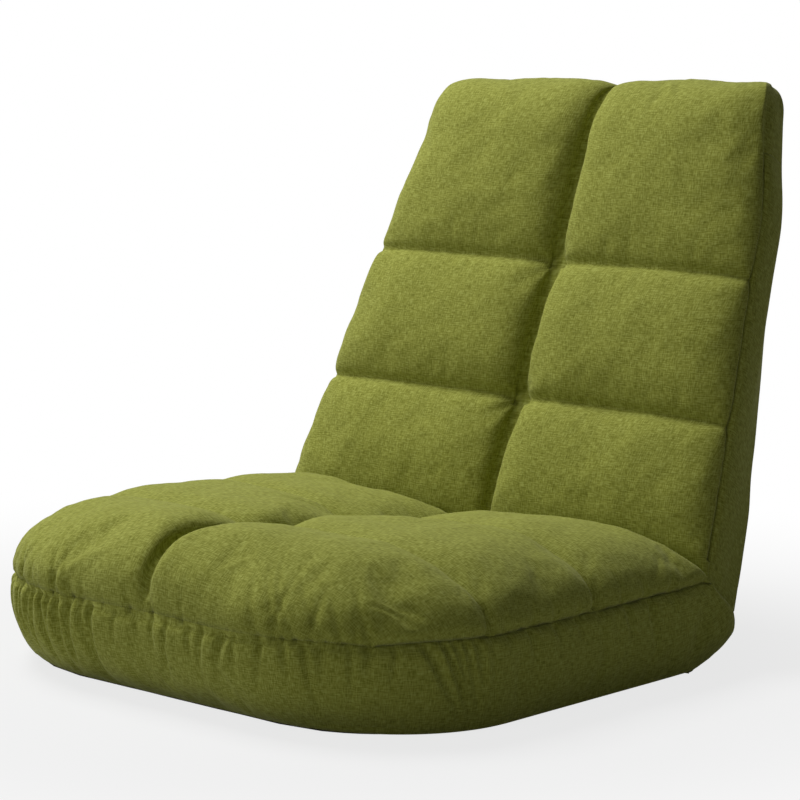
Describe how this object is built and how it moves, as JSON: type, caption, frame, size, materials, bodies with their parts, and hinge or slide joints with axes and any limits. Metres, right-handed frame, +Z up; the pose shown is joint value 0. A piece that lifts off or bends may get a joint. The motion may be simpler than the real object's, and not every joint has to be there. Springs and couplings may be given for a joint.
{
  "type": "floor chair",
  "caption": "Low legless floor chair: a quilted seat pad that lies on the floor and a quilted, tapered backrest that reclines and folds on ratchet hinges inside the cover.",
  "frame": {"origin": "on the floor under the middle of the seat", "axes": "+Z up, -Y the way the sitter faces, +X to the sitter's left"},
  "size_m": [0.58, 0.6901, 0.5232],
  "materials": {
    "cover": "linen-look weave",
    "underside": "non-woven cloth",
    "foam": "open-cell foam",
    "felt": "pressed felt",
    "webbing": "woven strap",
    "tube": "powder coat",
    "hinge_steel": "zinc plated"
  },
  "bodies": {
    "seat": {"seat_quilted_panel": "cover", "seat_boxing": "cover", "seat_underside_cloth": "underside", "seat_base_foam": "foam", "seat_foam": "foam", "seat_frame_tube": "tube", "seat_cross_tube": "tube", "seat_webbing": "webbing", "seat_felt": "felt", "hinge_outer_plates": "hinge_steel", "hinge_inner_plates": "hinge_steel", "seat_hinge_spigots": "hinge_steel", "pawl_springs": "hinge_steel", "pivot_rivets": "hinge_steel", "plate_rivets": "hinge_steel", "pawl_pins": "hinge_steel", "crease_roll": "cover"},
    "back": {"back_quilted_panel": "cover", "back_side_bands": "cover", "back_rear_panel": "cover", "back_foam": "foam", "back_rear_felt": "felt", "back_frame_tube": "tube", "back_cross_tube": "tube", "back_webbing": "webbing", "back_felt": "felt", "ratchet_gears": "hinge_steel"},
    "pawls": {"pawls": "hinge_steel"}
  },
  "joints": [
    {"name": "recline", "type": "hinge", "parent": "seat", "child": "back", "pos_m": [0, 0.25, 0.03], "axis": [-1, 0, 0], "range_deg": [-37.5, 67.5], "deforming": ["crease_roll"]},
    {"name": "pawl_lift", "type": "hinge", "parent": "seat", "child": "pawls", "pos_m": [0, 0.231, 0.049], "axis": [-1, 0, 0], "range_deg": [0, 10], "stiffness_Nm_per_rad": 0.05, "deforming": ["pawl_springs"]}
  ]
}
